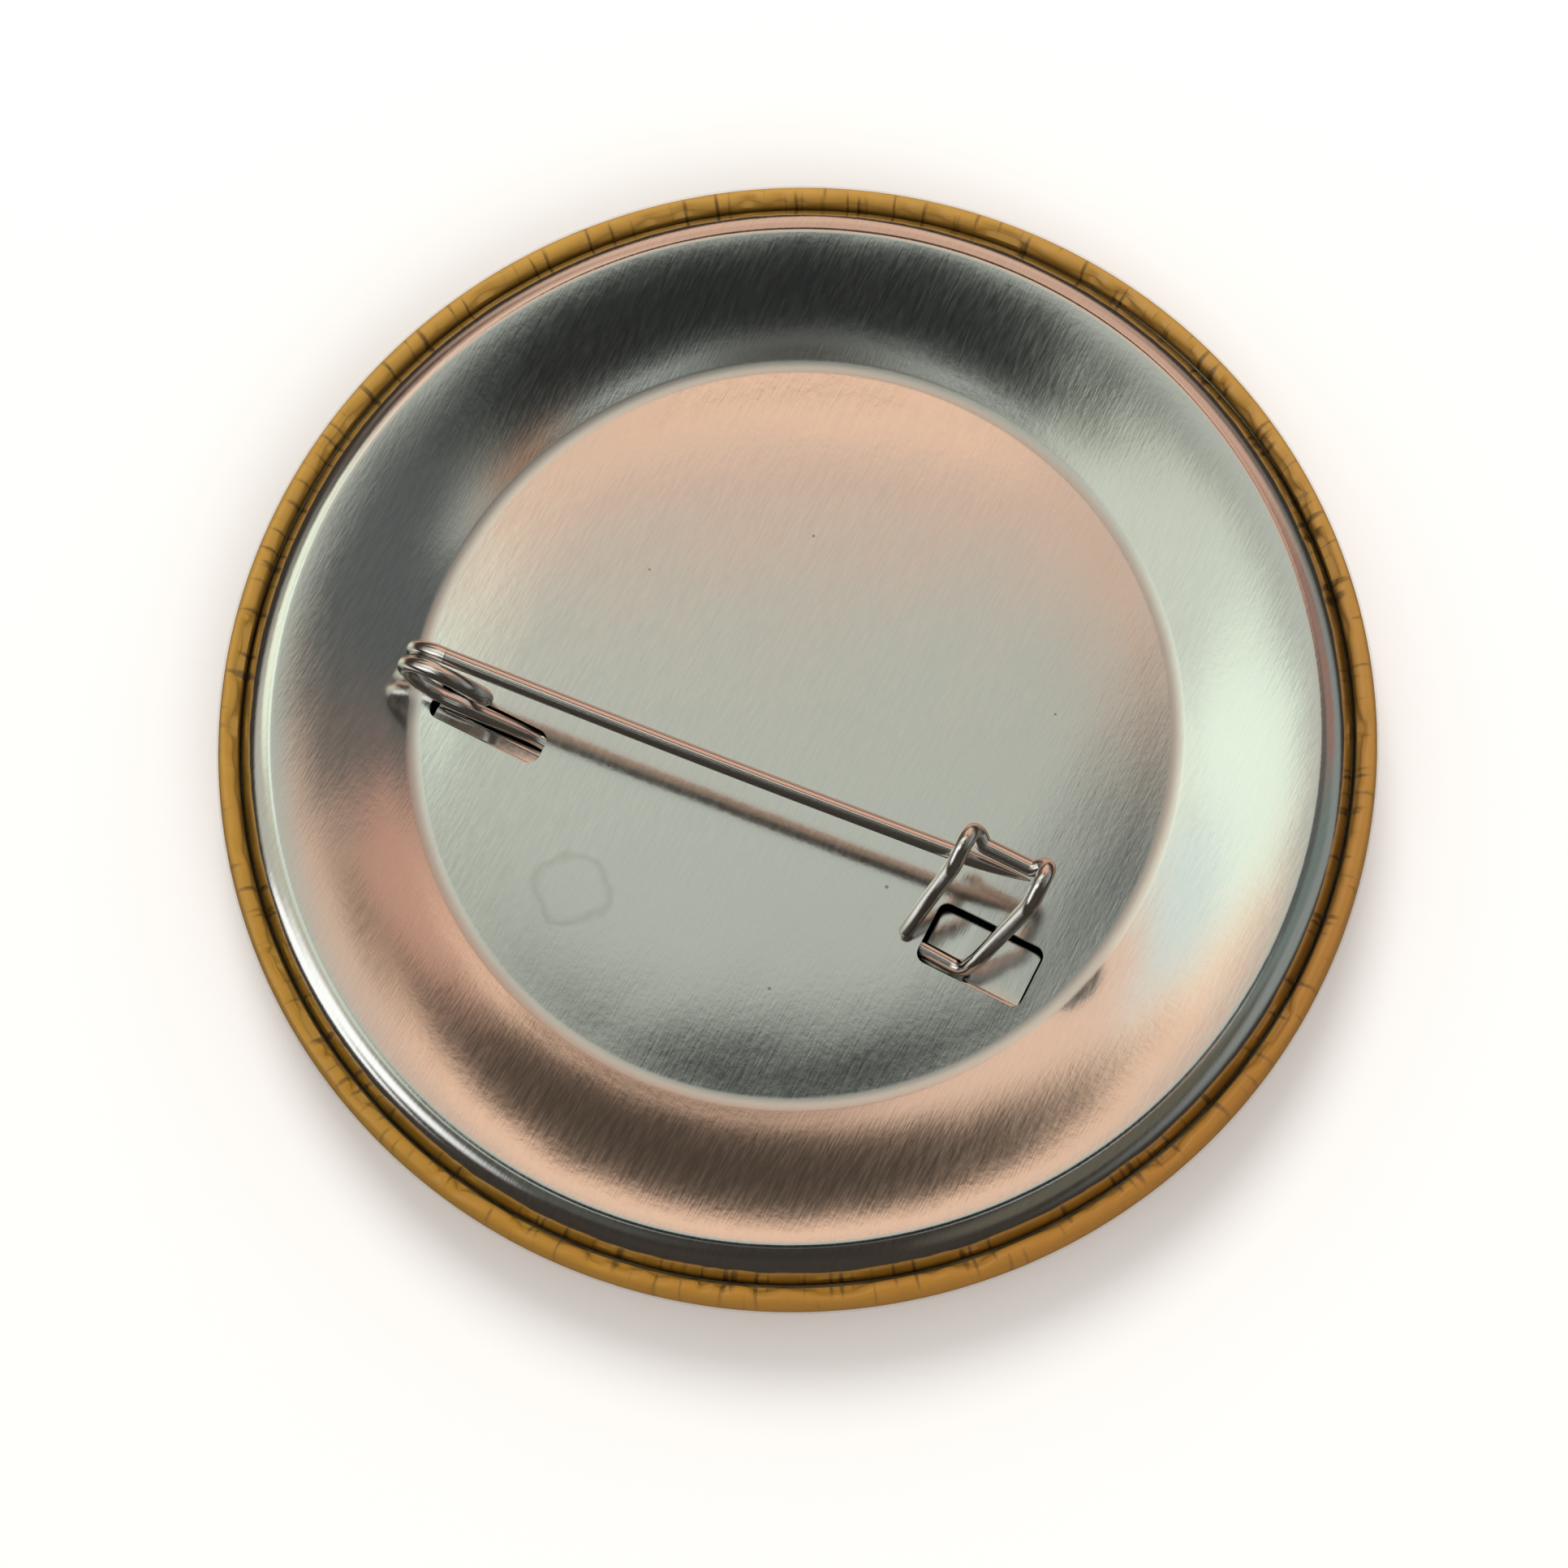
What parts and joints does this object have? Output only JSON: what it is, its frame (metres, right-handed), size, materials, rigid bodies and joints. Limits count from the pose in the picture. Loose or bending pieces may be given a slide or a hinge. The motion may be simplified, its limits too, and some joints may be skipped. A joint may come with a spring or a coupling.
{
  "type": "button badge",
  "caption": "Round pin-back button badge with a domed printed front, a pressed tinplate back and a spring wire pin held by a hooked wire catch.",
  "frame": {"origin": "lowest point of the domed front, on the badge's axis, with the badge lying face-down", "axes": "+Z away from the front, towards the wearer; +X along the pin's wire, from its coil to its catch"},
  "size_m": [0.058, 0.058, 0.0103],
  "materials": {
    "clear_film": "clear polyester film, glossy",
    "printed_paper": "coated print paper, mustard yellow",
    "tinplate": "bright tinplate with a fine rolled grain",
    "nickel_wire": "bright nickel-plated spring wire"
  },
  "bodies": {
    "badge": {"clear_film": "clear_film", "artwork_print": "printed_paper", "front_shell": "tinplate", "back_plate": "tinplate", "catch_wire": "nickel_wire", "pin_coil": "nickel_wire"},
    "pin": {"pin_arm": "nickel_wire"}
  },
  "joints": [
    {"name": "pin_open", "type": "hinge", "parent": "badge", "child": "pin", "pos_m": [-0.01595, -0.00562, 0.00852], "axis": [0.7135, 0.0689, 0.6973], "range_deg": [0, 90]}
  ]
}
